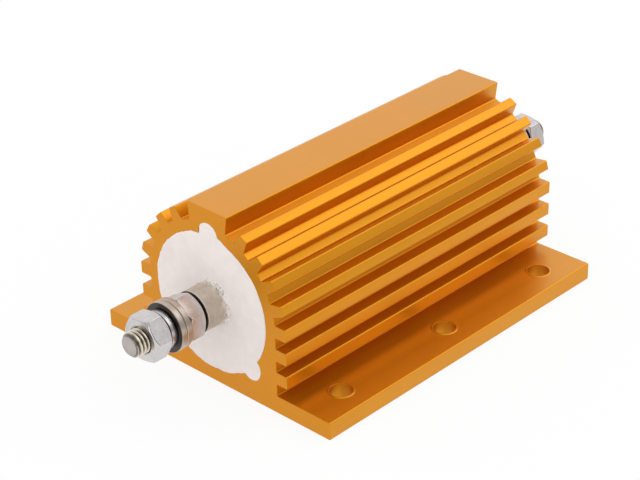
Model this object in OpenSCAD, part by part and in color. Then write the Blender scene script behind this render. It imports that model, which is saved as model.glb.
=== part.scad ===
// Wirewound power resistor in a finned aluminium extrusion, with a threaded terminal at each end.
// X runs along the extrusion and Z is up. The origin is the middle of the mounting face.
// Sizes are in millimetres. The front end is the one at -X.

/* [Housing] */
// Length of the extruded housing
body_length = 92; // [84:1:120]
// Width of the base plate over both flanges
base_width = 71.4; // [68:0.2:80]
// Thickness of the base plate
base_thickness = 4.4; // [3.4:0.1:5.4]
// How far the top rail stands over the floors of the fin gaps
rail_rise = 3.7; // [2:0.1:6]
// Width of the top rail
rail_width = 12.3; // [10:0.1:13]
// How much the top rail's foot is cut in on each side
rail_undercut = 0.6; // [0:0.1:1]

/* [Bore] */
// Diameter of the bore that holds the cement
bore_diameter = 34; // [31:0.5:35]
// Thickness left under the bore
bore_floor = 3.4; // [2.6:0.1:5]
// Wall between the bore and the floors of the fin gaps
bore_wall = 2.8; // [2.2:0.1:3.2]
// Radius of each of the three key grooves in the bore
key_radius = 2.85; // [1.5:0.05:3]
// Angle of the two lower key grooves below the horizontal
key_angle = 45; // [35:1:55]

/* [Fins] */
// How far the fins stand out from the floors between them
fin_depth = 3.2; // [2:0.1:4.4]
// Number of straight fins on each side
straight_fins = 3; // [1:1:3]
// Thickness of the straight fins
straight_fin_thickness = 3.1; // [2:0.1:3.4]
// Distance between the straight fins' centres
straight_fin_pitch = 5.95; // [5:0.05:6.1]
// Height of the topmost straight fin's centre over the bore's axis
straight_fin_rise = 0.5; // [0:0.05:0.7]
// Number of radial fins on each side
radial_fins = 4; // [2:1:4]
// Thickness of the radial fins where they leave the wall
radial_fin_root = 3.2; // [2.2:0.1:3.4]
// Thickness of the radial fins at their tips
radial_fin_tip = 2.35; // [1.6:0.05:3]
// Angle of the lowest radial fin over the horizontal
radial_fin_start = 16; // [15:0.5:17]
// Angle from one radial fin to the next
radial_fin_step = 15; // [14:0.25:15.5]

/* [Edges] */
// Radius on the outer edges of the fins, rail and base plate
edge_radius = 0.3; // [0.1:0.05:0.6]
// Radius in the corners between the fins and their floors
root_radius = 0.4; // [0.1:0.05:0.7]

/* [Mounting holes] */
// Diameter of the mounting holes
hole_diameter = 5.4; // [4.2:0.1:6.4]
// Distance between holes along a flange
hole_pitch = 35; // [28:0.5:37]
// Distance between the two rows of holes
hole_gauge = 57.4; // [55:0.2:60]
// Number of holes in each flange
holes_per_flange = 3; // [2:1:3]

/* [Cement] */
// How far the cement stands back from each end face of the housing
cement_recess = 0.6; // [0.1:0.1:2]
// Gap between the cement and what it touches
cement_clearance = 0.05; // [0.02:0.01:0.2]

/* [Resistance element] */
// Diameter of the ceramic core
core_diameter = 20; // [16:0.5:23]
// Diameter of the hole through the ceramic core
core_hole = 5.2; // [5.2:0.1:8]
// Depth of the end caps' faces below the housing's end faces
cap_inset = 7; // [5:0.5:12]
// Thickness of the end caps' sheet metal
cap_sheet = 0.8; // [0.5:0.1:1.4]
// Length of the end caps along the core
cap_length = 7; // [4:0.5:10]
// Gap between the end caps and the core
cap_clearance = 0.05; // [0.02:0.01:0.15]
// Diameter of the resistance wire
wire_diameter = 1.2; // [0.8:0.1:1.6]
// Distance from one turn of the winding to the next
wire_pitch = 3.2; // [2.4:0.1:5]
// Gap between the winding and what it lies on
wire_clearance = 0.05; // [0.02:0.01:0.15]

/* [Terminals] */
// Diameter of the terminals' plain posts
post_diameter = 10.2; // [9.6:0.1:12]
// How far the plain posts stand out of the housing's end faces
post_reach = 5.8; // [3:0.1:10]
// Chamfer round the plain posts' outer ends
post_chamfer = 0.3; // [0.1:0.05:0.8]
// Diameter of the spigots that hold the terminals in the end caps
spigot_diameter = 5; // [3:0.1:5]
// Length of the spigots past the end caps
spigot_length = 6; // [2:0.5:10]
// Diameter of the terminals' threads over their crests
thread_diameter = 6; // [5:0.1:6.4]
// How far the threads stand out past the outer nuts
thread_overrun = 3.2; // [1:0.1:8]
// Chamfer on the threads' ends
thread_chamfer = 0.35; // [0.1:0.05:0.6]

/* [Nuts and washers] */
// Width of the nuts across their flats
nut_width = 10; // [9.6:0.1:12]
// Height of the nuts
nut_height = 4.9; // [3.2:0.1:6.5]
// Gap between the posts' outer ends and the inner nuts
inner_nut_gap = 0.3; // [0.05:0.05:1]
// Gap between the nuts and the threads
nut_clearance = 0.05; // [0.02:0.01:0.15]
// Diameter of the plain washers
washer_diameter = 12; // [11:0.1:14]
// Thickness of the plain washers
washer_thickness = 1.6; // [0.8:0.1:2.4]
// Gap between the plain washers and the threads
washer_clearance = 0.2; // [0.1:0.05:0.4]
// Width and thickness of the spring washers' wire
spring_section = 1.6; // [1:0.1:2]
// Width of the slit in the spring washers
spring_slit = 0.8; // [0.4:0.1:1.5]
// Gap between the spring washers and the threads
spring_clearance = 0.05; // [0.02:0.01:0.2]
// Gap left between the spring washers and the outer nuts
outer_nut_gap = 0.3; // [0.05:0.05:1]
// Turn of the front terminal's inner nut on its thread
front_inner_nut_turn = 55.5; // [0:0.5:60]
// Turn of the front terminal's outer nut on its thread
front_outer_nut_turn = 36; // [0:0.5:60]
// Turn of the rear terminal's inner nut on its thread
rear_inner_nut_turn = 12; // [0:0.5:60]
// Turn of the rear terminal's outer nut on its thread
rear_outer_nut_turn = 40; // [0:0.5:60]

/* [Hidden] */
$fn = 96;

FRONT = -1;
REAR = 1;

// How far cutting tools run past the faces they cut
overcut = 1;

// Housing section
bore_radius = bore_diameter / 2;
bore_height = bore_floor + bore_radius;
floor_radius = bore_radius + bore_wall;
body_height = bore_height + floor_radius + rail_rise;
tip_radius = floor_radius + fin_depth;
corner_steps = 3;
key_angles = [90, 180 + key_angle, -key_angle];

// Resistance element
core_radius = core_diameter / 2;
core_length = body_length - 2 * (cap_inset + cap_sheet);
cap_radius = core_radius + cap_clearance + cap_sheet;
wire_radius = wire_diameter / 2;
wire_steps = 16;
wire_sides = 6;
// The wire's straight steps cut inside its true circle, so the coil is opened by the same amount
coil_radius = (core_radius + wire_radius + wire_clearance) / cos(180 / wire_steps);
coil_length = body_length - 2 * (cap_inset + cap_length + wire_radius + wire_clearance);
coil_rings = floor(coil_length / wire_pitch * wire_steps);
cavity_radius = max(coil_radius + wire_radius, cap_radius) + cement_clearance;

// Stack on each terminal, as distances out from the housing's end face
inner_nut_seat = post_reach + inner_nut_gap;
inner_washer_seat = inner_nut_seat + nut_height;
outer_washer_seat = inner_washer_seat + washer_thickness;
spring_seat = outer_washer_seat + washer_thickness;
outer_nut_seat = spring_seat + spring_section + outer_nut_gap;
thread_end = outer_nut_seat + nut_height + thread_overrun;

// Nuts
nut_face_share = 0.95;
nut_chamfer_angle = 36;
nut_countersink = 0.4;
washer_edge = 0.2;
spring_edge = 0.15;
spring_slit_lean = 20;
hole_chamfer = 0.25;

// ---- Outlines ----

function unit(v) = v / norm(v);

// Points of the arc that rounds the corner at b, between its neighbours a and c, with radius r
function rounded_corner(a, b, c, r) =
    let (
        back = unit(a - b),
        ahead = unit(c - b),
        half = acos(back * ahead) / 2,
        centre = b + unit(back + ahead) * r / sin(half),
        first = b + back * r / tan(half) - centre,
        last = b + ahead * r / tan(half) - centre,
        start = atan2(first.y, first.x),
        turn = (atan2(last.y, last.x) - start + 540) % 360 - 180
    )
    [for (i = [0 : corner_steps])
        let (angle = start + turn * i / corner_steps)
        centre + r * [cos(angle), sin(angle)]];

// A closed outline with every corner [x, y, radius] rounded
function rounded_outline(corners) =
    let (
        count = len(corners),
        point = [for (corner = corners) [corner.x, corner.y]]
    )
    [for (i = [0 : count - 1])
        each rounded_corner(
            point[(i + count - 1) % count], point[i], point[(i + 1) % count], corners[i][2])];

// Four corners of one straight fin, from its lower root to its upper root
function straight_fin(index) =
    let (
        z = bore_height + straight_fin_rise - index * straight_fin_pitch,
        low = z - straight_fin_thickness / 2,
        high = z + straight_fin_thickness / 2
    )
    [[floor_radius, low, root_radius], [tip_radius, low, edge_radius],
     [tip_radius, high, edge_radius], [floor_radius, high, root_radius]];

// A point of the radial fin at the given angle: distance along it, half thickness to the given side
function on_fin(angle, along, aside) =
    [along * cos(angle) - aside * sin(angle), bore_height + along * sin(angle) + aside * cos(angle)];

// Four corners of one radial fin, from its lower root to its upper root
function radial_fin(index) =
    let (
        angle = radial_fin_start + index * radial_fin_step,
        root = radial_fin_root / 2,
        tip = radial_fin_tip / 2
    )
    [each [for (corner = [[floor_radius, -root, root_radius], [tip_radius, -tip, edge_radius],
                          [tip_radius, tip, edge_radius], [floor_radius, root, root_radius]])
        let (point = on_fin(angle, corner.x, corner.y))
        [point.x, point.y, corner[2]]]];

// Height of the floor of the fin gaps at a distance from the middle plane
function floor_height(x) = bore_height + sqrt(floor_radius * floor_radius - x * x);

// Right half of the housing's section, from the mounting face up to the rail
half_section =
    let (
        rail_foot = rail_width / 2 - rail_undercut
    )
    [
        [base_width / 2, 0, edge_radius],
        [base_width / 2, base_thickness, edge_radius],
        [floor_radius, base_thickness, root_radius],
        each [for (i = [straight_fins - 1 : -1 : 0]) each straight_fin(i)],
        each [for (i = [0 : radial_fins - 1]) each radial_fin(i)],
        [rail_foot, floor_height(rail_foot), root_radius],
        [rail_width / 2, body_height, edge_radius]
    ];

function mirrored(corners) =
    [for (i = [len(corners) - 1 : -1 : 0]) [-corners[i].x, corners[i].y, corners[i][2]]];

// ---- Placing ----

// Lays the children, drawn along Z from an end face outwards, on the bore's axis at that end
module at_end(side) {
    translate([side * body_length / 2, 0, bore_height])
        rotate([0, side * 90, 0])
            children();
}

// A rod along the housing on the bore's axis, centred on the housing's middle
module axial_rod(radius, length) {
    translate([0, 0, bore_height])
        rotate([0, 90, 0])
            cylinder(r = radius, h = length, center = true);
}

// The bore's shape with its three keys, grown by the given margin
module keyed_rod(length, margin) {
    axial_rod(bore_radius + margin, length);
    for (angle = key_angles)
        translate([0, bore_radius * cos(angle), bore_radius * sin(angle)])
            axial_rod(key_radius + margin, length);
}

// ---- Housing ----

module mounting_hole() {
    translate([0, 0, -overcut])
        cylinder(d = hole_diameter, h = base_thickness + 2 * overcut);
    translate([0, 0, base_thickness - hole_chamfer])
        cylinder(d1 = hole_diameter, d2 = hole_diameter + 4 * hole_chamfer, h = 2 * hole_chamfer);
}

module housing() {
    color("orange")
        difference() {
            rotate([90, 0, 90])
                linear_extrude(height = body_length, center = true)
                    polygon(rounded_outline(concat(half_section, mirrored(half_section))));
            keyed_rod(body_length + 2 * overcut, 0);
            for (i = [0 : holes_per_flange - 1], side = [-1, 1])
                translate([(i - (holes_per_flange - 1) / 2) * hole_pitch, side * hole_gauge / 2, 0])
                    mounting_hole();
        }
}

// ---- Cement ----

module potting() {
    color("gainsboro")
        difference() {
            keyed_rod(body_length - 2 * cement_recess, -cement_clearance);
            axial_rod(cavity_radius, body_length - 2 * (cap_inset - cement_clearance));
            axial_rod(post_diameter / 2 + cement_clearance, body_length + 2 * overcut);
        }
}

// ---- Resistance element ----

module ceramic_core() {
    color("ivory")
        difference() {
            axial_rod(core_radius, core_length);
            axial_rod(core_hole / 2, core_length + 2 * overcut);
        }
}

// Ring of points round the wire, at the given step along the coil
function wire_ring(step) =
    let (
        angle = 360 * step / wire_steps,
        x = (step - coil_rings / 2) * wire_pitch / wire_steps,
        outward = [0, cos(angle), sin(angle)],
        centre = [x, 0, bore_height] + coil_radius * outward
    )
    [for (i = [0 : wire_sides - 1])
        let (round = 360 * i / wire_sides)
        centre + wire_radius * (cos(round) * outward + sin(round) * [1, 0, 0])];

module resistance_winding() {
    side_faces = [
        for (step = [0 : coil_rings - 1], i = [0 : wire_sides - 1])
            let (
                next = (i + 1) % wire_sides,
                low = step * wire_sides,
                high = low + wire_sides
            )
            each [[low + i, high + i, high + next], [low + i, high + next, low + next]]
    ];
    start_face = [for (i = [0 : wire_sides - 1]) i];
    end_face = [for (i = [wire_sides - 1 : -1 : 0]) coil_rings * wire_sides + i];
    color("dimgray")
        polyhedron(
            points = [for (step = [0 : coil_rings]) each wire_ring(step)],
            faces = concat(side_faces, [start_face, end_face]));
}

module end_cap(side) {
    color("silver")
        at_end(side)
            translate([0, 0, -cap_inset - cap_length])
                difference() {
                    cylinder(r = cap_radius, h = cap_length);
                    translate([0, 0, -overcut])
                        cylinder(r = core_radius + cap_clearance, h = cap_length - cap_sheet + overcut);
                    cylinder(d = spigot_diameter + 2 * cap_clearance, h = cap_length + overcut);
                }
}

module end_cap_front() { end_cap(FRONT); }
module end_cap_rear() { end_cap(REAR); }

// ---- Terminals ----

// Turned in one piece: spigot inside the cap and core, plain post through the cement, then the thread
module terminal_stud(side) {
    post_radius = post_diameter / 2;
    thread_radius = thread_diameter / 2;
    spigot_radius = spigot_diameter / 2;
    spigot_end = -cap_inset - cap_sheet - spigot_length;
    color("silver")
        at_end(side)
            rotate_extrude()
                polygon([
                    [0, spigot_end],
                    [spigot_radius, spigot_end],
                    [spigot_radius, -cap_inset],
                    [post_radius, -cap_inset],
                    [post_radius, post_reach - post_chamfer],
                    [post_radius - post_chamfer, post_reach],
                    [thread_radius, post_reach],
                    [thread_radius, thread_end - thread_chamfer],
                    [thread_radius - thread_chamfer, thread_end],
                    [0, thread_end]
                ]);
}

module terminal_stud_front() { terminal_stud(FRONT); }
module terminal_stud_rear() { terminal_stud(REAR); }

// ---- Nuts and washers ----

module hex_nut(side, seat, turn) {
    corner_radius = nut_width / 2 / cos(30);
    face_radius = nut_width / 2 * nut_face_share;
    rim_radius = corner_radius + overcut;
    chamfer_height = (rim_radius - face_radius) * tan(nut_chamfer_angle);
    bore = thread_diameter / 2 + nut_clearance;
    color("lightgray")
        at_end(side)
            translate([0, 0, seat])
                rotate([0, 0, turn])
                    difference() {
                        intersection() {
                            cylinder(r = corner_radius, h = nut_height, $fn = 6);
                            rotate_extrude()
                                polygon([
                                    [0, 0],
                                    [face_radius, 0],
                                    [rim_radius, chamfer_height],
                                    [rim_radius, nut_height - chamfer_height],
                                    [face_radius, nut_height],
                                    [0, nut_height]
                                ]);
                        }
                        translate([0, 0, -overcut])
                            cylinder(r = bore, h = nut_height + 2 * overcut);
                        cylinder(r1 = bore + nut_countersink, r2 = bore, h = nut_countersink);
                        translate([0, 0, nut_height - nut_countersink])
                            cylinder(r1 = bore, r2 = bore + nut_countersink, h = nut_countersink);
                    }
}

module inner_nut_front() { hex_nut(FRONT, inner_nut_seat, front_inner_nut_turn); }
module inner_nut_rear() { hex_nut(REAR, inner_nut_seat, rear_inner_nut_turn); }
module outer_nut_front() { hex_nut(FRONT, outer_nut_seat, front_outer_nut_turn); }
module outer_nut_rear() { hex_nut(REAR, outer_nut_seat, rear_outer_nut_turn); }

// Stamped washer: its outer edge is drawn over on the side away from the housing
module flat_washer(side, seat) {
    inner = thread_diameter / 2 + washer_clearance;
    outer = washer_diameter / 2;
    color("silver")
        at_end(side)
            translate([0, 0, seat])
                rotate_extrude()
                    polygon([
                        [inner, 0],
                        [outer - washer_edge / 2, 0],
                        [outer, washer_edge / 2],
                        [outer, washer_thickness - washer_edge],
                        [outer - washer_edge, washer_thickness],
                        [inner, washer_thickness]
                    ]);
}

module inner_flat_washer_front() { flat_washer(FRONT, inner_washer_seat); }
module inner_flat_washer_rear() { flat_washer(REAR, inner_washer_seat); }
module outer_flat_washer_front() { flat_washer(FRONT, outer_washer_seat); }
module outer_flat_washer_rear() { flat_washer(REAR, outer_washer_seat); }

// Square wire bent round once, with a leaning slit between its ends
module spring_washer(side) {
    inner = thread_diameter / 2 + spring_clearance;
    outer = inner + spring_section;
    color("gray")
        at_end(side)
            translate([0, 0, spring_seat])
                difference() {
                    rotate_extrude()
                        polygon([
                            [inner, 0],
                            [outer - spring_edge, 0],
                            [outer, spring_edge],
                            [outer, spring_section - spring_edge],
                            [outer - spring_edge, spring_section],
                            [inner, spring_section]
                        ]);
                    translate([-outer, 0, spring_section / 2])
                        rotate([spring_slit_lean, 0, 0])
                            cube([2 * spring_section + overcut, spring_slit, 3 * spring_section], center = true);
                }
}

module spring_washer_front() { spring_washer(FRONT); }
module spring_washer_rear() { spring_washer(REAR); }

housing();
potting();
ceramic_core();
resistance_winding();
end_cap_front();
end_cap_rear();
terminal_stud_front();
terminal_stud_rear();
inner_nut_front();
inner_nut_rear();
inner_flat_washer_front();
inner_flat_washer_rear();
outer_flat_washer_front();
outer_flat_washer_rear();
spring_washer_front();
spring_washer_rear();
outer_nut_front();
outer_nut_rear();
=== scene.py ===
"""Looks of a wirewound power resistor in a finned aluminium housing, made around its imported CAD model.

The file is laid out as an add-on and is run as a script. Lengths are in metres and the frame is the CAD model's:
X along the extrusion with the front end at -X, Z up, and the origin in the middle of the mounting face.
"""

import math

import bmesh
import bpy
from bpy.props import FloatProperty, FloatVectorProperty, IntProperty, PointerProperty
from mathutils import Matrix, Vector, noise


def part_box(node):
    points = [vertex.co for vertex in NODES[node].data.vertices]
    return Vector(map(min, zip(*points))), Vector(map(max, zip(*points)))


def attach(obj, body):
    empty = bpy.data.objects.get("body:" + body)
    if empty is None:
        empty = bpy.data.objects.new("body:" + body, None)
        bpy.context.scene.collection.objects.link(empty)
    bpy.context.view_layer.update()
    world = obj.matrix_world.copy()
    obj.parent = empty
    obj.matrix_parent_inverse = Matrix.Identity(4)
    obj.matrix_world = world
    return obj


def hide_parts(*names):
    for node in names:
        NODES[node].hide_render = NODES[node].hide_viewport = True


bl_info = {
    "name": "Housed power resistor",
    "version": (1, 0, 0),
    "blender": (4, 5, 0),
    "location": "3D View > Sidebar > Resistor",
    "description": "Builds the finishes and fine shapes of an aluminium housed power resistor on its CAD model",
    "category": "Add Mesh",
}

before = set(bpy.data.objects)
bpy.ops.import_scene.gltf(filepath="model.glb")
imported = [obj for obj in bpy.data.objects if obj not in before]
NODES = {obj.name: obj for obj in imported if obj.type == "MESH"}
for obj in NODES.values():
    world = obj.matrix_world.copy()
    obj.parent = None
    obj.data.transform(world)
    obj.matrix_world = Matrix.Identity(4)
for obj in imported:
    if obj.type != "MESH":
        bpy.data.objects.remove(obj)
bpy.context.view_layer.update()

MM = 0.001
MERGE_DISTANCE = 1e-7
FLAT_ANGLE = math.radians(0.4)
SMOOTH_ANGLE = math.radians(35)

ENDS = {"front": -1, "rear": 1}


def span(node, axis):
    """Lowest and highest value of a CAD node along one axis."""
    low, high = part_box(node)
    return low[axis], high[axis]


# Places on the CAD model, as distances from the housing's middle or radii from the bore's axis
END_FACE = span("housing", 0)[1]
CEMENT_FACE = span("potting", 0)[1]
BORE_HEIGHT = sum(span("terminal_stud_front", 2)) / 2
POST_RADIUS = span("terminal_stud_front", 1)[1]
# Gap between a post's outer end and the inner nut
NUT_GAP = 0.0003
POST_END = span("inner_nut_rear", 0)[0] - NUT_GAP
# Width of the broken edge round a post's outer end
POST_RIM = 0.0003
POST_START = span("end_cap_rear", 0)[1]
# Places of the joints between the nuts and washers, out from the end face
WASHER_JOINTS = [span(node, 0)[0] - END_FACE for node in ("inner_flat_washer_rear", "outer_flat_washer_rear")]
SPRING_JOINTS = [value - END_FACE for value in span("spring_washer_rear", 0)]
STUD_END = span("terminal_stud_rear", 0)[1]
STUD_START = span("terminal_stud_rear", 0)[0]
SPIGOT_RADIUS = 0.0025


# ---- Settings ----


class HousingSettings(bpy.types.PropertyGroup):
    """Sizes and finish of the extruded housing"""

    edge_break: FloatProperty(
        name="Edge break",
        description="Width of the broken edge round the sawn end faces and the holes",
        default=0.00012,
        min=0.00002,
        max=0.0003,
        precision=5,
        unit="LENGTH",
    )
    hole_radius: FloatProperty(
        name="Hole radius",
        description="Radius of the mounting holes",
        default=0.0027,
        precision=5,
        unit="LENGTH",
    )
    hole_pitch: FloatProperty(
        name="Hole pitch",
        description="Distance between the holes along a flange",
        default=0.035,
        precision=5,
        unit="LENGTH",
    )
    hole_gauge: FloatProperty(
        name="Hole gauge",
        description="Distance between the two rows of holes",
        default=0.0574,
        precision=5,
        unit="LENGTH",
    )
    base_top: FloatProperty(
        name="Base thickness",
        description="Height of the flanges' upper faces",
        default=0.0044,
        precision=5,
        unit="LENGTH",
    )
    colour: FloatVectorProperty(
        name="Anodised colour",
        description="Colour of the dyed anodised layer",
        default=(0.72, 0.285, 0.002),
        min=0,
        max=1,
        subtype="COLOR",
    )
    roughness: FloatProperty(
        name="Roughness",
        description="Roughness of the anodised layer",
        default=0.34,
        min=0,
        max=1,
        subtype="FACTOR",
    )


class CementSettings(bpy.types.PropertyGroup):
    """Sizes and finish of the cement that fills the housing's ends"""

    bore_radius: FloatProperty(
        name="Bore radius",
        description="Radius of the housing's bore",
        default=0.017,
        precision=5,
        unit="LENGTH",
    )
    key_radius: FloatProperty(
        name="Key radius",
        description="Radius of the three key grooves in the bore",
        default=0.00285,
        precision=5,
        unit="LENGTH",
    )
    dish: FloatProperty(
        name="Dish",
        description="How far the cement sinks round the terminal's post",
        default=0.00042,
        precision=5,
        unit="LENGTH",
    )
    smear: FloatProperty(
        name="Smear",
        description="How far the cement is smeared over the rim of the bore",
        default=0.00035,
        precision=5,
        unit="LENGTH",
    )
    colour: FloatVectorProperty(
        name="Cement colour",
        description="Colour of the dry cement",
        default=(0.82, 0.755, 0.725),
        min=0,
        max=1,
        subtype="COLOR",
    )


class TerminalSettings(bpy.types.PropertyGroup):
    """Sizes and finish of the terminals and their hardware"""

    thread_diameter: FloatProperty(
        name="Thread diameter",
        description="Diameter over the thread's crests",
        default=0.006,
        precision=5,
        unit="LENGTH",
    )
    thread_pitch: FloatProperty(
        name="Thread pitch",
        description="Distance from one crest of the thread to the next",
        default=0.001,
        precision=5,
        unit="LENGTH",
    )
    thread_chamfer: FloatProperty(
        name="Thread chamfer",
        description="Chamfer on the end of the thread",
        default=0.0007,
        precision=5,
        unit="LENGTH",
    )
    steps: IntProperty(
        name="Steps a turn",
        description="Number of straight steps in one turn of the thread and the post",
        default=72,
        min=24,
        max=144,
    )
    edge_break: FloatProperty(
        name="Edge break",
        description="Width of the broken edges of the nuts and washers",
        default=0.00011,
        precision=5,
        unit="LENGTH",
    )
    spring_lift: FloatProperty(
        name="Spring lift",
        description="How far one end of a spring washer stands over the other",
        default=0.00029,
        precision=5,
        unit="LENGTH",
    )
    nickel_colour: FloatVectorProperty(
        name="Nickel colour",
        description="Colour of the dull nickel on the terminal studs",
        default=(0.62, 0.555, 0.475),
        min=0,
        max=1,
        subtype="COLOR",
    )
    zinc_colour: FloatVectorProperty(
        name="Zinc colour",
        description="Colour of the bright zinc on the nuts and the spring washers",
        default=(0.63, 0.60, 0.60),
        min=0,
        max=1,
        subtype="COLOR",
    )
    warm_colour: FloatVectorProperty(
        name="Warm zinc colour",
        description="Colour of the yellower zinc on the plain washers",
        default=(0.56, 0.49, 0.43),
        min=0,
        max=1,
        subtype="COLOR",
    )


class StageSettings(bpy.types.PropertyGroup):
    """Camera, floor and lights"""

    azimuth: FloatProperty(
        name="Azimuth",
        description="Turn of the camera about the vertical, from behind the near flange",
        default=math.radians(-45.842),
        subtype="ANGLE",
    )
    elevation: FloatProperty(
        name="Elevation",
        description="Height of the camera over the horizon",
        default=math.radians(29.203),
        subtype="ANGLE",
    )
    roll: FloatProperty(
        name="Roll",
        description="Roll of the camera about its line of sight",
        default=math.radians(1.333),
        subtype="ANGLE",
    )
    distance: FloatProperty(
        name="Distance",
        description="Distance from the camera to the point it looks at",
        default=0.46063,
        precision=5,
        unit="LENGTH",
    )
    aim: FloatVectorProperty(
        name="Aim",
        description="Point the camera looks at",
        default=(-0.00569, 0.00512, 0.01748),
        subtype="TRANSLATION",
        unit="LENGTH",
    )
    lens: FloatProperty(
        name="Lens",
        description="Focal length in millimetres on a sensor 36 mm wide",
        default=109.6,
    )
    dim_side: FloatProperty(
        name="Dim side",
        description="Brightness of the camera's end of the room as glossy metal shows it",
        default=0.35,
        min=0,
        max=1,
        subtype="FACTOR",
    )
    card_radius: FloatProperty(
        name="Card radius",
        description="Radius of the dark card behind the camera",
        default=0.24,
        precision=5,
        unit="LENGTH",
    )
    card_distance: FloatProperty(
        name="Card distance",
        description="Distance from the camera back to the dark card",
        default=0.25,
        precision=5,
        unit="LENGTH",
    )
    key_power: FloatProperty(
        name="Key power",
        description="Power of the large soft lamp over the near flange",
        default=0.8,
        unit="POWER",
    )
    side_power: FloatProperty(
        name="Side power",
        description="Power of the soft lamp beside the front terminal",
        default=0.45,
        unit="POWER",
    )


# ---- Shader nodes ----


class Socket:
    """A node's output that Python's operators work on; each adds its Math node."""

    def __init__(self, finish, output):
        self.finish = finish
        self.output = output

    def math(self, operation, *values, **settings):
        return self.finish.node("Math", {"operation": operation, **settings}, dict(enumerate(values)))

    def __add__(self, other):
        return self.math("ADD", self, other)

    def __sub__(self, other):
        return self.math("SUBTRACT", self, other)

    def __rsub__(self, other):
        return self.math("SUBTRACT", other, self)

    def __mul__(self, other):
        return self.math("MULTIPLY", self, other)

    def __pow__(self, other):
        return self.math("POWER", self, other)

    def __abs__(self):
        return self.math("ABSOLUTE", self)

    __radd__ = __add__
    __rmul__ = __mul__

    def rise(self, start, end):
        """0 up to start, 1 from end, and a smooth step between; start may be above end."""
        settings = {"interpolation_type": "SMOOTHSTEP"}
        values = {"Value": self, "From Min": start, "From Max": end}
        if start > end:
            values.update({"From Min": end, "From Max": start, "To Min": 1.0, "To Max": 0.0})
        return self.finish.node("MapRange", settings, values)


class Finish:
    """One procedural material, or the world, while its nodes are being made."""

    def __init__(self, name, blocks=None):
        self.block = (bpy.data.materials if blocks is None else blocks).new(name)
        self.block.use_nodes = True
        self.tree = self.block.node_tree
        self.tree.nodes.clear()
        self.place = self.node("TexCoord", output="Object")

    def node(self, kind, settings=None, values=None, output=0):
        """Adds a shader node: its settings first, then the values or links of its inputs."""
        made = self.tree.nodes.new("ShaderNode" + kind)
        for name, setting in (settings or {}).items():
            setattr(made, name, setting)
        for name, value in (values or {}).items():
            if isinstance(value, Socket):
                self.tree.links.new(value.output, made.inputs[name])
            else:
                made.inputs[name].default_value = value
        return Socket(self, made.outputs[output]) if made.outputs else None

    def scaled(self, vector, scale):
        """A place stretched by a different factor along each axis."""
        return self.node("VectorMath", {"operation": "MULTIPLY"}, {0: vector, 1: scale})

    def parts(self, vector):
        """The three numbers of a vector."""
        split = self.node("SeparateXYZ", values={0: vector})
        return [Socket(self, output) for output in split.output.node.outputs]

    def noise(self, scale, detail=3.0, roughness=0.5, place=None):
        """Noise about 0.5, at a number of lumps a metre."""
        values = {"Vector": place or self.place, "Scale": scale, "Detail": detail, "Roughness": roughness}
        return self.node("TexNoise", values=values)

    def cells(self, scale, feature="F1", place=None):
        """Distance to the nearest of many scattered points, in cell widths."""
        values = {"Vector": place or self.place, "Scale": scale}
        return self.node("TexVoronoi", {"feature": feature}, values, "Distance")

    def mix(self, factor, low, high, blend="MIX"):
        """A colour between two colours."""
        low, high = (c if isinstance(c, Socket) else (*c[:3], 1.0) for c in (low, high))
        return self.node("Mix", {"data_type": "RGBA", "blend_type": blend}, {0: factor, 6: low, 7: high}, 2)

    def relief(self, height, depth):
        """The surface's normal under a relief of the given depth in metres."""
        return self.node("Bump", values={"Height": height, "Distance": depth, "Strength": 1.0}, output="Normal")

    def surface(self, **values):
        """Ends the material with its shader; an underscore in a name stands for a space."""
        named = {name.replace("_", " "): value for name, value in values.items()}
        for name, value in named.items():
            if name == "Base Color" and not isinstance(value, Socket):
                named[name] = (*value[:3], 1.0)
        self.finish(self.node("BsdfPrincipled", values=named))
        return self.block

    def finish(self, shader, output="OutputMaterial"):
        """Ends the block with a shader."""
        self.node(output, values={"Surface": shader})
        return self.block

    def outputs(self, made):
        """All the outputs of a node by name."""
        return {output.name: Socket(self, output) for output in made.output.node.outputs}

    def on_axis(self):
        """How far a place lies out from the housing's end face, and its radius from the bore's axis."""
        along, aside, height = self.parts(self.place)
        rise = height - BORE_HEIGHT
        return abs(along) - END_FACE, (aside * aside + rise * rise) ** 0.5


# ---- Finishes ----


def shade(colour, factor):
    """A colour made lighter or darker."""
    return tuple(min(1.0, channel * factor) for channel in colour[:3])


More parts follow.
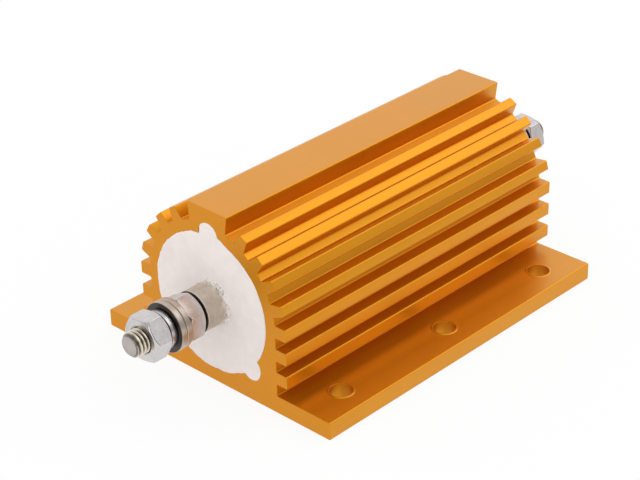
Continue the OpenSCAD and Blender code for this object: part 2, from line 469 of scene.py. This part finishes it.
def anodised_finish(settings):
    """Gold anodised extrusion: die lines along it, saw marks on the end faces, a brighter skin on level faces."""
    finish = Finish("gold_anodised_aluminium")
    normal = finish.parts(finish.node("TexCoord", output="Normal"))
    sawn = abs(normal[0]).rise(0.6, 0.85)
    drawn = 1.0 - sawn
    level = normal[2].rise(0.9, 0.98)

    die_lines = finish.noise(1.0, 4.0, 0.62, finish.scaled(finish.place, (3.0, 2100.0, 2100.0)))
    broad_lines = finish.noise(1.0, 2.0, 0.5, finish.scaled(finish.place, (1.5, 420.0, 420.0)))
    saw_turn = finish.node(
        "Mapping",
        {"vector_type": "POINT"},
        {"Vector": finish.place, "Rotation": (math.radians(24), 0.0, 0.0), "Scale": (1.0, 60.0, 4200.0)},
    )
    saw_lines = finish.noise(1.0, 2.0, 0.55, saw_turn)
    satin = finish.noise(5200.0, 2.0, 0.6)
    clouds = finish.noise(38.0, 3.0, 0.55)
    dents = finish.cells(330.0).rise(0.10, 0.02) * finish.noise(90.0, 1.0).rise(0.60, 0.72)

    lines = drawn * (die_lines * 0.7 + broad_lines * 0.3) + sawn * saw_lines
    tone = clouds * 0.55 + lines * 0.45
    colour = finish.mix(tone.rise(0.3, 0.7), shade(settings.colour, 0.955), shade(settings.colour, 1.04))
    colour = finish.mix(dents * 0.5, colour, shade(settings.colour, 0.6))
    roughness = settings.roughness - 0.045 + 0.09 * clouds + 0.05 * lines + 0.17 * sawn
    height = lines * 0.7 + satin * 0.3 - dents * 6.0
    return finish.surface(
        Base_Color=colour,
        Metallic=0.84,
        Roughness=roughness,
        Coat_Weight=0.24 + 0.3 * level,
        Coat_Roughness=0.3,
        Coat_IOR=1.42,
        Normal=finish.relief(height, 0.000004),
    )


def cement_finish(settings):
    """White cement: matte and mottled, with pores, greyer where it meets the post, and with painted shadow specks
    round the post.
    """
    finish = Finish("white_cement")
    radius = finish.on_axis()[1]
    mottle = finish.noise(420.0, 5.0, 0.6)
    broad = finish.noise(75.0, 3.0, 0.5)
    grain = finish.noise(3600.0, 3.0, 0.65)
    pores = finish.cells(1150.0).rise(0.16, 0.05) * finish.noise(260.0, 2.0).rise(0.5, 0.62)
    ragged = radius + (finish.noise(1300.0, 3.0) - 0.5) * 0.0012
    collar = ragged.rise(POST_RADIUS + 0.00055, POST_RADIUS + 0.0001)
    # Painted shadow: dark specks just round the post, where the cement's crumbs cast shade
    specks = ragged.rise(POST_RADIUS + 0.0008, POST_RADIUS + 0.0003) * finish.noise(1700.0, 3.0, 0.6).rise(0.55, 0.63)

    tone = mottle * 0.5 + broad * 0.5
    colour = finish.mix(tone.rise(0.35, 0.65), shade(settings.colour, 0.955), shade(settings.colour, 1.03))
    colour = finish.mix(pores * 0.35, colour, shade(settings.colour, 0.62))
    colour = finish.mix(collar * 0.35, colour, (0.60, 0.55, 0.48))
    colour = finish.mix(specks * 0.75, colour, (0.22, 0.19, 0.17))
    height = mottle * 0.5 + grain * 0.3 - pores * 1.2
    return finish.surface(
        Base_Color=colour,
        Roughness=0.78 + 0.12 * mottle,
        Normal=finish.relief(height, 0.00005),
    )


# Painted shade: near-black colour laid into the joints between the stud, the nuts and the washers, where shade and
# dark reflections fall
JOINT_SHADE_COLOUR = (0.030, 0.024, 0.021)


def nickel_finish(settings):
    """Dull nickel on the studs: lathe marks, cement dust near the post's foot, painted shadow specks at the foot,
    painted shade past the post's end and in the thread's hollows, and painted highlights on the thread's tops and on
    the post's burnished rim.
    """
    finish = Finish("nickel_plate")
    crest = settings.thread_diameter / 2
    out, radius = finish.on_axis()
    lathe = finish.noise(1.0, 2.0, 0.5, finish.scaled(finish.place, (5200.0, 60.0, 60.0)))
    patches = finish.noise(520.0, 4.0, 0.6)
    broad = finish.noise(150.0, 2.0)
    dust = (out + (finish.noise(620.0, 4.0, 0.62) - 0.5) * 0.0034).rise(0.0012, 0.0002)
    past_rim = out - (POST_END - END_FACE - POST_RIM)
    on_post = radius.rise(crest + 0.0003, crest + 0.0005)
    # Painted shade in the clearance between the post's end and the inner nut
    gap = past_rim.rise(0.0, 0.00006) * on_post * past_rim.rise(0.0008, 0.0007)
    # The post's broken rim is burnished smoother, and its lighter colour is a painted highlight
    rim = abs(past_rim + 0.00004).rise(0.0001, 0.00003) * on_post
    # Painted shadow: dark specks round the post's foot, where the cement's crumbs cast shade
    foot_shadow_specks = finish.noise(1500.0, 3.0, 0.6).rise(0.54, 0.62) * out.rise(0.0012, 0.0003)
    facing = abs(finish.parts(finish.node("TexCoord", output="Normal"))[0])
    flat = facing.rise(0.93, 0.98) * out.rise(0.02, 0.021)
    thread = (1.0 - flat) * radius.rise(crest + 0.0003, crest + 0.0001)
    # Painted shade in the thread's hollows and painted highlight on its tops
    root_shade = thread * (radius + (patches - 0.5) * 0.0005).rise(crest - 0.00018, crest - 0.0005)
    crest_highlight = thread * (radius + (patches - 0.5) * 0.0003).rise(crest - 0.0002, crest - 0.00005)

    tone = (patches * 0.6 + broad * 0.4).rise(0.34, 0.66)
    colour = finish.mix(tone, shade(settings.nickel_colour, 0.88), shade(settings.nickel_colour, 1.12))
    colour = finish.mix(dust * 0.7, colour, (0.66, 0.63, 0.59))
    colour = finish.mix(foot_shadow_specks * 0.75, colour, (0.16, 0.135, 0.115))
    colour = finish.mix(rim, colour, (0.92, 0.88, 0.82))
    colour = finish.mix(flat, colour, finish.mix(tone, (0.44, 0.41, 0.39), (0.56, 0.525, 0.49)))
    colour = finish.mix(root_shade * 0.8, colour, (0.11, 0.095, 0.065))
    colour = finish.mix(crest_highlight * 0.8, colour, (0.84, 0.79, 0.63))
    colour = finish.mix(gap * 0.92, colour, JOINT_SHADE_COLOUR)
    height = lathe * 0.6 + patches * 0.5 + dust * 1.5
    return finish.surface(
        Base_Color=colour,
        Metallic=1.0 - dust * 0.8,
        Roughness=0.46 + 0.14 * patches + 0.2 * dust - 0.2 * rim - 0.22 * thread,
        Normal=finish.relief(height, 0.000009),
    )


def zinc_finish(name, colour, roughness, face_shade=0.0):
    """Bright plated steel with tiny dimples and soft stains, and painted shade in the joints between the parts.

    The last argument is the share of painted shade laid on all faces that look along the stack.
    """
    finish = Finish(name)
    out, radius = finish.on_axis()
    wander = out + (finish.noise(700.0, 2.0) - 0.5) * 0.0001
    # Painted shade: dark rings at the plain washers' joints and on the plain washer's face round the spring washer,
    # standing in for shade and dark reflections in the joints
    painted_joint_shade = 0.0
    for joint in WASHER_JOINTS:
        painted_joint_shade = abs(wander - joint).rise(0.00015, 0.00006) + painted_joint_shade
    back, front = SPRING_JOINTS
    covered = (radius + (finish.noise(500.0, 2.0) - 0.5) * 0.0004).rise(0.0062, 0.0058)
    painted_joint_shade = abs(wander - back).rise(0.00016, 0.00008) * covered + painted_joint_shade
    faces = abs(finish.parts(finish.node("TexCoord", output="Normal"))[0]).rise(0.45, 0.75)
    # Painted shade on the nut's back just past the spring washer's front face, and, by the share the last argument
    # gives, on every face that looks along the stack
    spring_front_shade = (out - front - 0.0003).rise(0.0001, 0.00002) * out.rise(front, front + 0.00005)
    painted_joint_shade = faces * face_shade + spring_front_shade + painted_joint_shade
    dimples = finish.noise(1900.0, 3.0, 0.6)
    stains = finish.noise(360.0, 4.0, 0.6)
    scratches = finish.noise(1.0, 1.0, 0.5, finish.scaled(finish.place, (900.0, 6000.0, 900.0))).rise(0.7, 0.78)
    tone = finish.mix(stains.rise(0.35, 0.65), shade(colour, 0.92), shade(colour, 1.06))
    tone = finish.mix(painted_joint_shade * 0.9, tone, JOINT_SHADE_COLOUR)
    return finish.surface(
        Base_Color=tone,
        Metallic=1.0,
        Roughness=roughness + 0.10 * stains + 0.08 * scratches,
        Normal=finish.relief(dimples - scratches * 0.3, 0.000005),
    )


def ceramic_finish():
    """Unglazed steatite of the core, slightly speckled."""
    finish = Finish("steatite")
    mottle = finish.noise(300.0, 4.0)
    grain = finish.noise(4200.0, 2.0)
    specks = finish.cells(900.0).rise(0.12, 0.04)
    colour = finish.mix(mottle.rise(0.35, 0.65), (0.70, 0.66, 0.58), (0.80, 0.77, 0.70))
    colour = finish.mix(specks * 0.4, colour, (0.45, 0.40, 0.34))
    return finish.surface(
        Base_Color=colour, Roughness=0.55 + 0.15 * mottle, Normal=finish.relief(grain, 0.00001)
    )


def wire_finish():
    """Resistance wire, drawn and heat tinted."""
    finish = Finish("resistance_alloy")
    tint = finish.noise(260.0, 3.0)
    drawn = finish.noise(3800.0, 2.0)
    colour = finish.mix(tint.rise(0.35, 0.65), (0.30, 0.27, 0.245), (0.40, 0.36, 0.31))
    return finish.surface(
        Base_Color=colour, Metallic=1.0, Roughness=0.34 + 0.18 * tint, Normal=finish.relief(drawn, 0.000006)
    )


# ---- Shapes ----


def merged_copy(node):
    """A copy of a CAD node's mesh with its loose triangles joined into whole faces."""
    shape = bmesh.new()
    shape.from_mesh(NODES[node].data)
    bmesh.ops.remove_doubles(shape, verts=shape.verts, dist=MERGE_DISTANCE)
    bmesh.ops.dissolve_limit(shape, angle_limit=FLAT_ANGLE, verts=shape.verts, edges=shape.edges)
    return shape


def break_edges(shape, width, turn, keep=None, segments=2):
    """Bevels the edges at which the faces turn by more than an angle, or those of them that keep() wants."""
    edges = [edge for edge in shape.edges if edge.is_manifold and edge.calc_face_angle(0.0) > turn]
    if keep:
        edges = [edge for edge in edges if keep(edge)]
    bmesh.ops.bevel(
        shape,
        geom=edges,
        offset=width,
        offset_type="OFFSET",
        affect="EDGES",
        segments=segments,
        profile=0.5,
        material=-1,
        clamp_overlap=False,
        loop_slide=True,
    )


def add_piece(name, shape, finish, slot, *replaced):
    """Makes a piece of a finished shape; it rides on the part, and the CAD nodes it replaces are hidden."""
    mesh = bpy.data.meshes.new(name)
    shape.to_mesh(mesh)
    shape.free()
    mesh.shade_smooth()
    mesh.set_sharp_from_angle(angle=SMOOTH_ANGLE)
    mesh.materials.append(finish)
    piece = bpy.data.objects.new(name, mesh)
    bpy.context.scene.collection.objects.link(piece)
    weighted = piece.modifiers.new("Even shading", "WEIGHTED_NORMAL")
    weighted.keep_sharp = True
    weighted.weight = 60
    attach(piece, "root")
    if replaced:
        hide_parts(*replaced)
    return piece


def dress_node(node, finish):
    """Gives a CAD node that stays as it is its finish."""
    slots = NODES[node].material_slots
    if not slots:
        NODES[node].data.materials.append(finish)
    for slot in slots:
        slot.material = finish


def to_end(shape, side):
    """Moves a shape drawn along +Z from the housing's middle on to the bore's axis, towards one end."""
    turn = Matrix.Rotation(math.radians(90 * side), 4, "Y")
    lift = Matrix.Translation((0.0, 0.0, BORE_HEIGHT))
    bmesh.ops.transform(shape, matrix=lift @ turn, verts=shape.verts)


def turned(shape, profile, steps):
    """Turns a closed or axis-to-axis profile of (radius, height) points a full turn about Z."""
    corners = [shape.verts.new((radius, 0.0, height)) for radius, height in profile]
    pairs = list(zip(corners, corners[1:]))
    if profile[0][0] > 0:
        pairs.append((corners[-1], corners[0]))
    edges = [shape.edges.new(pair) for pair in pairs]
    bmesh.ops.spin(
        shape,
        geom=corners + edges,
        cent=(0.0, 0.0, 0.0),
        axis=(0.0, 0.0, 1.0),
        angle=math.tau,
        steps=steps,
        use_merge=True,
    )
    bmesh.ops.remove_doubles(shape, verts=shape.verts, dist=MERGE_DISTANCE)
    bmesh.ops.recalc_face_normals(shape, faces=shape.faces)


def join_shape(shape, other, place=(0.0, 0.0, 0.0)):
    """Adds another shape to a shape, moved to a place, and frees it."""
    bmesh.ops.translate(other, vec=place, verts=other.verts)
    mesh = bpy.data.meshes.new("part")
    other.to_mesh(mesh)
    other.free()
    shape.from_mesh(mesh)
    bpy.data.meshes.remove(mesh)


class HousingOperator(bpy.types.Operator):
    """Finish the extruded housing: broken edges and gold anodising"""

    bl_idname = "resistor.housing"
    bl_label = "Housing"

    # Section of the lip that the drill raised round each hole, in millimetres out from the hole and up
    LIP = (
        *((0.0, -0.4), (0.0, 0.07), (0.02, 0.11), (0.07, 0.13), (0.15, 0.12), (0.28, 0.08)),
        *((0.42, 0.03), (0.56, -0.02), (0.56, -0.06), (0.3, -0.08), (0.3, -0.4)),
    )
    LIP_STEPS = 64

    def execute(self, context):
        settings = context.scene.resistor_housing
        shape = merged_copy("housing")
        break_edges(shape, settings.edge_break, math.radians(50))
        section = [(settings.hole_radius + MM * out, MM * up) for out, up in self.LIP]
        for row in (-1, 1):
            for hole in (-1, 0, 1):
                lip = bmesh.new()
                turned(lip, section, self.LIP_STEPS)
                place = (hole * settings.hole_pitch, row * settings.hole_gauge / 2, settings.base_top)
                join_shape(shape, lip, place)
        add_piece("finned_housing", shape, anodised_finish(settings), "gold_anodised_aluminium", "housing")
        return {"FINISHED"}


# Angles of the key grooves round the bore's axis, from +Y towards +Z
KEY_ANGLES = (math.radians(90), math.radians(225), math.radians(-45))


def turn_between(angle, other):
    """Signed smallest turn from one angle to another."""
    return (angle - other + math.pi) % math.tau - math.pi


def keyed_radius(angle, settings):
    """Distance from the bore's axis to its keyed wall."""
    radius = settings.bore_radius
    for key in KEY_ANGLES:
        turn = turn_between(angle, key)
        reach = settings.key_radius**2 - (settings.bore_radius * math.sin(turn)) ** 2
        if reach > 0 and abs(turn) < 1:
            radius = max(radius, settings.bore_radius * math.cos(turn) + math.sqrt(reach))
    return radius


def bump_at(angle, centre, width):
    """A smooth hump of height 1 round an angle."""
    return math.exp(-((turn_between(angle, math.radians(centre)) / math.radians(width)) ** 2))


def smooth(value, low, high):
    """0 at low, 1 at high, smooth between."""
    share = min(1.0, max(0.0, (value - low) / (high - low)))
    return share * share * (3 - 2 * share)


class CementOperator(bpy.types.Operator):
    """Make the trowelled faces of the cement at both ends, over the plain solid of the CAD model"""

    bl_idname = "resistor.cement"
    bl_label = "Cement"

    STEPS = 420
    RINGS = 30
    # Share of the bore's radius at which the smear over the rim is drawn before it is shaped
    LIP = 1.05
    # Power by which the rings crowd together towards the post
    CROWDING = 1.6
    # How far the face reaches into the post, and how far it stays inside the bore's wall
    TUCK, WALL_TUCK = 0.00003, 0.00002

    def rim_smear(self, angle, side, settings):
        """How far the cement runs over the rim of the bore, or stays short of it below zero."""
        ring = Vector((math.cos(angle) * 2.0, math.sin(angle) * 2.0, side * 3.0))
        ragged = 0.55 * noise.noise(ring * 1.3) + 0.45 * noise.noise(ring * 4.1) + 0.25 * noise.noise(ring * 12.0)
        smear = settings.smear * (0.25 + 1.1 * ragged)
        if side < 0:
            smear += settings.smear * (0.9 * bump_at(angle, 10, 34) + 1.5 * bump_at(angle, 101, 5))
            smear -= settings.smear * 1.1 * bump_at(angle, 79, 3.2)
        return max(-0.00035, min(0.0006, smear))

    def depth(self, radius, angle, side, settings):
        """How far the face of the cement lies under the housing's end face."""
        across = Vector((radius * math.cos(angle), radius * math.sin(angle), side * 0.02)) * 1000.0
        past_post = (radius - POST_RADIUS) / MM
        waves = 0.06 * noise.noise(across * 0.13) + 0.03 * noise.noise(across * 0.45)
        waves += 0.012 * noise.noise(across * 1.6)
        dish = settings.dish / MM * math.exp(-((past_post / 3.6) ** 2))
        climb = (0.40 + 0.5 * noise.noise(across * 0.8)) * math.exp(-past_post / 0.16)
        lumps = 0.34 * max(0.0, noise.noise(across * 1.7) + 0.12) + 0.12 * noise.noise(across * 4.2)
        crumbs = lumps * math.exp(-((past_post / 0.62) ** 2))
        rim = smooth(keyed_radius(angle, settings) - radius, 0.0, 0.0022)
        return (0.02 + (0.10 + waves) * rim + dish - climb - crumbs) * MM

    def execute(self, context):
        settings = context.scene.resistor_cement
        finish = cement_finish(settings)
        for end, side in ENDS.items():
            self.add_face(end, side, finish, settings)
        dress_node("potting", finish)
        return {"FINISHED"}

    def add_face(self, end, side, finish, settings):
        """One end's face: a spun ring whose points are then laid by the two functions above."""
        inner, outer = POST_RADIUS, settings.bore_radius
        across = [inner + (outer - inner) * (ring / self.RINGS) ** self.CROWDING for ring in range(self.RINGS + 1)]
        profile = [(radius, END_FACE) for radius in across]
        profile += [(outer * self.LIP, END_FACE), (outer * self.LIP, END_FACE - MM), (outer, END_FACE - MM)]
        profile += [(outer, CEMENT_FACE - 2 * MM), (inner, CEMENT_FACE - 2 * MM)]
        shape = bmesh.new()
        turned(shape, profile, self.STEPS)
        for vert in shape.verts:
            plain = math.hypot(vert.co.x, vert.co.y)
            # The end's own angle, from +Y towards +Z, once the shape is laid along the bore
            angle = math.atan2(-side * vert.co.x, vert.co.y)
            wall = keyed_radius(angle, settings)
            smear = self.rim_smear(angle, side, settings)
            share = (plain - inner) / (outer - inner)
            spread = max(smear, 0.0)
            short = min(smear, 0.0)
            if vert.co.z < CEMENT_FACE - MM:
                radius = inner - self.TUCK if share < 0.5 else wall - 2 * self.WALL_TUCK
                height = CEMENT_FACE - 0.00002
            elif vert.co.z < END_FACE - 0.5 * MM:
                radius = wall + short + spread if share > 1.01 else wall - self.WALL_TUCK
                height = END_FACE + 0.000004 if short == 0 else END_FACE + 2.2 * short
                if share <= 1.01:
                    height = min(height, END_FACE) - 0.00001
                    radius = min(radius, wall + short)
            elif share > 1.01:
                radius = wall + short + spread
                height = END_FACE + (0.00003 if short == 0 else 1.2 * short)
            else:
                radius = inner - self.TUCK + (wall + short + 0.35 * spread - inner) * share
                height = END_FACE - self.depth(radius, angle, side, settings)
                if spread:
                    height += 0.00009 * smooth(share, 0.86, 1.0)
                if short:
                    height += 0.9 * short * smooth(share, 0.93, 1.0)
            vert.co = Vector((vert.co.x / plain * radius, vert.co.y / plain * radius, height))
        to_end(shape, side)
        bmesh.ops.recalc_face_normals(shape, faces=shape.faces)
        add_piece(f"cement_face_{end}", shape, finish, "white_cement")


class StudOperator(bpy.types.Operator):
    """Make the terminal studs, with a real helical thread in place of the CAD model's plain cylinder"""

    bl_idname = "resistor.studs"
    bl_label = "Terminal studs"

    # Share of the pitch at which each corner of the thread's section lies, and whether it is on the crest
    TOOTH = ((0.0, 0.0), (0.125, 0.0), (0.43, 0.94), (0.47, 1.0), (0.58, 1.0), (0.62, 0.94), (0.925, 0.0))
    DEPTH_SHARE = 0.58

    def execute(self, context):
        settings = context.scene.resistor_terminals
        finish = nickel_finish(settings)
        for end, side in ENDS.items():
            shape = bmesh.new()
            self.add_thread(shape, settings)
            self.add_post(shape, settings)
            to_end(shape, side)
            add_piece(f"threaded_stud_{end}", shape, finish, "nickel_plate", f"terminal_stud_{end}")
        return {"FINISHED"}

    def add_thread(self, shape, settings):
        """The thread from inside the post's end out to its chamfered tip, closed at both ends."""
        crest = settings.thread_diameter / 2
        pitch = settings.thread_pitch
        root = crest - pitch * self.DEPTH_SHARE
        start, end = POST_END - 0.0002, STUD_END
        turns = math.ceil((end - start) / pitch) + 2
        first = start - pitch
        profile = [(root + (crest - root) * high, first + pitch * along) for along, high in self.TOOTH]
        corners = [shape.verts.new((radius, 0.0, height)) for radius, height in profile + [(root, first + pitch)]]
        edges = [shape.edges.new(pair) for pair in zip(corners, corners[1:])]
        bmesh.ops.spin(
            shape,
            geom=corners + edges,
            cent=(0.0, 0.0, 0.0),
            axis=(0.0, 0.0, 1.0),
            dvec=(0.0, 0.0, pitch / settings.steps),
            angle=math.tau * turns,
            steps=settings.steps * turns,
            use_merge=False,
        )
        bmesh.ops.remove_doubles(shape, verts=shape.verts, dist=MERGE_DISTANCE * 5)
        for height, up in ((start, -1.0), (end, 1.0)):
            cut = bmesh.ops.bisect_plane(
                shape,
                geom=shape.verts[:] + shape.edges[:] + shape.faces[:],
                dist=MERGE_DISTANCE,
                plane_co=(0.0, 0.0, height),
                plane_no=(0.0, 0.0, up),
                clear_outer=True,
            )
            rim = [item for item in cut["geom_cut"] if isinstance(item, bmesh.types.BMEdge)]
            bmesh.ops.edgeloop_fill(shape, edges=rim)
        for vert in shape.verts:
            radius = math.hypot(vert.co.x, vert.co.y)
            allowed = crest - settings.thread_chamfer + (end - vert.co.z)
            if radius > allowed:
                vert.co.x *= allowed / radius
                vert.co.y *= allowed / radius
        bmesh.ops.recalc_face_normals(shape, faces=shape.faces)

    def add_post(self, shape, settings):
        """The plain post from the end cap out through the cement, and the spigot behind it."""
        post = bmesh.new()
        profile = [
            (0.0, STUD_START),
            (SPIGOT_RADIUS, STUD_START),
            (SPIGOT_RADIUS, POST_START),
            (POST_RADIUS, POST_START),
            (POST_RADIUS, POST_END - POST_RIM),
            (POST_RADIUS - POST_RIM * 0.3, POST_END - POST_RIM * 0.3),
            (POST_RADIUS - POST_RIM, POST_END),
            (0.0, POST_END),
        ]
        turned(post, profile, settings.steps)
        join_shape(shape, post)


class HardwareOperator(bpy.types.Operator):
    """Finish the nuts, plain washers and spring washers with broken edges and plating"""

    bl_idname = "resistor.hardware"
    bl_label = "Nuts and washers"

    # Edges at which the faces turn by more than this are broken
    SHARP = math.radians(24)

    def execute(self, context):
        settings = context.scene.resistor_terminals
        zinc = zinc_finish("bright_zinc", settings.zinc_colour, 0.19)
        stamped = zinc_finish("stamped_zinc", shade(settings.warm_colour, 0.96), 0.27)
        # The spring washers' finish lays painted shade over all of their faces that look along the stack
        steel = zinc_finish("spring_steel", shade(settings.zinc_colour, 0.92), 0.22, 1.0)
        width = settings.edge_break
        for end in ENDS:
            for place in ("inner", "outer"):
                nut = merged_copy(f"{place}_nut_{end}")
                break_edges(nut, width, self.SHARP)
                add_piece(f"{place}_hex_nut_{end}", nut, zinc, "bright_zinc", f"{place}_nut_{end}")
                washer = merged_copy(f"{place}_flat_washer_{end}")
                break_edges(washer, width * 0.5, self.SHARP)
                add_piece(
                    f"{place}_plain_washer_{end}", washer, stamped, "bright_zinc", f"{place}_flat_washer_{end}"
                )
            spring = merged_copy(f"spring_washer_{end}")
            # The wire climbs round the stud from one side of its slit, which is at the bottom, to the other
            for vert in spring.verts:
                turn = math.atan2(vert.co.z - BORE_HEIGHT, -vert.co.y) + math.pi / 2
                vert.co.x += ENDS[end] * settings.spring_lift * (turn % math.tau) / math.tau
            break_edges(spring, width * 0.5, self.SHARP)
            add_piece(f"split_spring_washer_{end}", spring, steel, "spring_steel", f"spring_washer_{end}")
        return {"FINISHED"}


class ElementOperator(bpy.types.Operator):
    """Finish the hidden resistance element: core, winding and end caps"""

    bl_idname = "resistor.element"
    bl_label = "Resistance element"

    def execute(self, context):
        dress_node("ceramic_core", ceramic_finish())
        dress_node("resistance_winding", wire_finish())
        sheet = zinc_finish("plated_sheet", (0.55, 0.54, 0.52), 0.30)
        for end in ENDS:
            dress_node(f"end_cap_{end}", sheet)
        return {"FINISHED"}


def stage_object(name, shape, finish):
    """Makes an object that belongs to the scene and not to the part from a shape, and frees the shape."""
    mesh = bpy.data.meshes.new(name)
    shape.to_mesh(mesh)
    shape.free()
    mesh.materials.append(finish.block)
    made = bpy.data.objects.new(name, mesh)
    bpy.context.scene.collection.objects.link(made)
    return made


class StageOperator(bpy.types.Operator):
    """Set out the floor, the soft lights and the camera"""

    bl_idname = "resistor.stage"
    bl_label = "Stage"

    FLOOR_SIZE = 3.0
    # How far the floor lies under the part's mounting face
    FLOOR_DROP = 0.00005
    # Shares of the floor's even white that the camera and glossy metal see in place of its lit paint
    CAMERA_SHARE, GLOSSY_SHARE = 0.9, 0.85
    # Direction of the brightest part of the room
    BRIGHT_SIDE = (0.51, 0.61, 0.61)

    def execute(self, context):
        settings = context.scene.resistor_stage
        context.scene.view_settings.view_transform = "Standard"
        self.add_floor()
        self.add_sky(context.scene, settings)
        self.add_lamps(settings)
        self.add_camera(context.scene, settings)
        return {"FINISHED"}

    def add_floor(self):
        """A white floor that the camera sees evenly lit, apart from the part's own soft shadow."""
        finish = Finish("white_floor")
        rays = finish.outputs(finish.node("LightPath"))
        paint = finish.node("BsdfDiffuse", values={"Color": (0.9, 0.9, 0.9, 1.0)})
        glow = finish.node("Emission", values={"Color": (1.0, 1.0, 1.0, 1.0), "Strength": 1.0})
        share = rays["Is Camera Ray"] * self.CAMERA_SHARE + rays["Is Glossy Ray"] * self.GLOSSY_SHARE
        finish.finish(finish.node("MixShader", values={0: share, 1: paint, 2: glow}))
        shape = bmesh.new()
        bmesh.ops.create_grid(shape, x_segments=1, y_segments=1, size=self.FLOOR_SIZE)
        bmesh.ops.translate(shape, vec=(0.0, 0.0, -self.FLOOR_DROP), verts=shape.verts)
        floor = stage_object("floor", shape, finish)

    def add_sky(self, scene, settings):
        """Even white all round, which glossy metal shows a little dimmer towards the camera's end of the room."""
        sky = Finish("white_room", bpy.data.worlds)
        mirrored = sky.outputs(sky.node("LightPath"))["Is Glossy Ray"]
        way = {0: sky.node("TexCoord", output="Generated"), 1: self.BRIGHT_SIDE}
        brightness = sky.node("VectorMath", {"operation": "DOT_PRODUCT"}, way, "Value").rise(-0.5, 0.7)
        dimming = (1.0 - settings.dim_side) * (1.0 - brightness)
        white = {"Color": (1.0, 1.0, 1.0, 1.0), "Strength": 1.0 - mirrored * dimming}
        scene.world = sky.finish(sky.node("Background", values=white), "OutputWorld")

    def add_lamps(self, settings):
        """A broad key lamp over the near flange and a small one beside the front terminal."""
        self.add_lamp("key_lamp", (0.46, -0.26, 0.52), (0.0, 0.0, 0.02), 0.6, settings.key_power)
        self.add_lamp("side_lamp", (-0.62, -0.17, 0.24), (-0.04, 0.0, 0.02), 0.4, settings.side_power)

    def add_lamp(self, name, place, target, size, power):
        """A round lamp turned towards a target, which the camera doesn't see."""
        light = bpy.data.lights.new(name, "AREA")
        light.shape = "DISK"
        light.size = size
        light.energy = power
        lamp = bpy.data.objects.new(name, light)
        lamp.visible_camera = False
        lamp.location = place
        lamp.rotation_euler = (Vector(place) - Vector(target)).to_track_quat("Z", "Y").to_euler()
        bpy.context.scene.collection.objects.link(lamp)

    def add_camera(self, scene, settings):
        """The camera on its sphere round the aim, rolled about its line of sight."""
        turn, rise, roll = settings.azimuth, settings.elevation, settings.roll
        back = Vector((math.sin(turn) * math.cos(rise), -math.cos(turn) * math.cos(rise), math.sin(rise)))
        right = (-back).cross(Vector((0.0, 0.0, 1.0))).normalized()
        down = (-back).cross(right)
        tilted_right = math.cos(roll) * right + math.sin(roll) * down
        tilted_up = math.sin(roll) * right - math.cos(roll) * down
        data = bpy.data.cameras.new("camera")
        data.lens = settings.lens
        data.sensor_fit = "HORIZONTAL"
        data.sensor_width = 36.0
        camera = bpy.data.objects.new("camera", data)
        axes = Matrix((tilted_right, tilted_up, back)).transposed().to_4x4()
        camera.matrix_world = Matrix.Translation(Vector(settings.aim) + back * settings.distance) @ axes
        scene.collection.objects.link(camera)
        scene.camera = camera
        self.add_dark_card(camera, settings)

    def add_dark_card(self, camera, settings):
        """The unlit end of the room behind the camera, which only glossy metal shows."""
        finish = Finish("dark_card")
        finish.finish(finish.node("BsdfDiffuse", values={"Color": (0.02, 0.02, 0.02, 1.0)}))
        shape = bmesh.new()
        bmesh.ops.create_circle(shape, cap_ends=True, segments=48, radius=settings.card_radius)
        place = camera.matrix_world @ Matrix.Translation((0.0, 0.0, settings.card_distance))
        bmesh.ops.transform(shape, matrix=place, verts=shape.verts)
        card = stage_object("dark_card", shape, finish)
        card.visible_camera = False
        card.visible_diffuse = False
        card.visible_shadow = False


class ResistorPanel(bpy.types.Panel):
    """Lists the steps that build the resistor's looks"""

    bl_idname = "VIEW3D_PT_resistor"
    bl_label = "Housed power resistor"
    bl_space_type = "VIEW_3D"
    bl_region_type = "UI"
    bl_category = "Resistor"

    def draw(self, context):
        for operator in OPERATORS:
            self.layout.operator(operator.bl_idname)


OPERATORS = (HousingOperator, CementOperator, StudOperator, HardwareOperator, ElementOperator, StageOperator)
SETTINGS = {
    "resistor_housing": HousingSettings,
    "resistor_cement": CementSettings,
    "resistor_terminals": TerminalSettings,
    "resistor_stage": StageSettings,
}


def register():
    """Registers the settings, the operators and the panel."""
    for item in (*SETTINGS.values(), *OPERATORS, ResistorPanel):
        bpy.utils.register_class(item)
    for name, group in SETTINGS.items():
        setattr(bpy.types.Scene, name, PointerProperty(type=group))


def unregister():
    """Removes what register() added."""
    for name in SETTINGS:
        delattr(bpy.types.Scene, name)
    for item in (ResistorPanel, *reversed(OPERATORS), *reversed(SETTINGS.values())):
        bpy.utils.unregister_class(item)


def main():
    """Builds the whole scene."""
    register()
    bpy.ops.resistor.housing()
    bpy.ops.resistor.cement()
    bpy.ops.resistor.studs()
    bpy.ops.resistor.hardware()
    bpy.ops.resistor.element()
    bpy.ops.resistor.stage()


if __name__ == "__main__":
    main()
